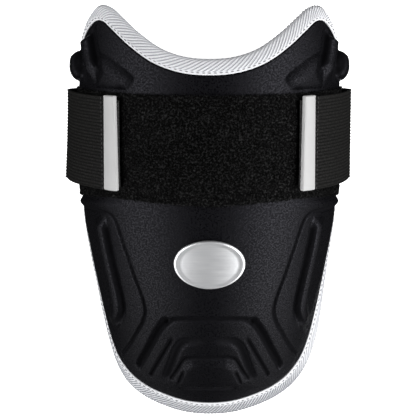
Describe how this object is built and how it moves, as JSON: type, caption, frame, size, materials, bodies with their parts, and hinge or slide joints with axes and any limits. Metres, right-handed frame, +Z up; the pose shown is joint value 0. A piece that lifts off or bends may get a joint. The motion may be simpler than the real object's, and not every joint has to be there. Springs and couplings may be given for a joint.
{
  "type": "batter's elbow guard",
  "caption": "Moulded foam elbow guard with a scooped upper edge, raised ribs, bound rim, fuzzy fastening panel and a wide elastic strap loop with moulded grips.",
  "frame": {"origin": "middle of the guard's plan, on the surface that it rests on", "axes": "+Y along the arm towards the horned upper end, +Z up out of the moulded front, +X across the arm"},
  "size_m": [0.1598, 0.2344, 0.0686],
  "materials": {
    "knit_foam": "fine black knit over moulded foam",
    "twill_tape": "white woven twill tape",
    "loop_pile": "black brushed loop pile",
    "webbing": "black ribbed elastic webbing",
    "hook_tape": "black hook tape",
    "grip_rubber": "pale grey moulded rubber",
    "silver_badge": "satin silver"
  },
  "bodies": {
    "root": {"pad_body": "knit_foam", "edge_binding": "twill_tape", "loop_panel": "loop_pile", "elastic_strap": "webbing", "hook_patch_left": "hook_tape", "hook_patch_right": "hook_tape", "pull_tab_left": "grip_rubber", "pull_tab_right": "grip_rubber", "front_badge": "silver_badge"}
  },
  "joints": []
}
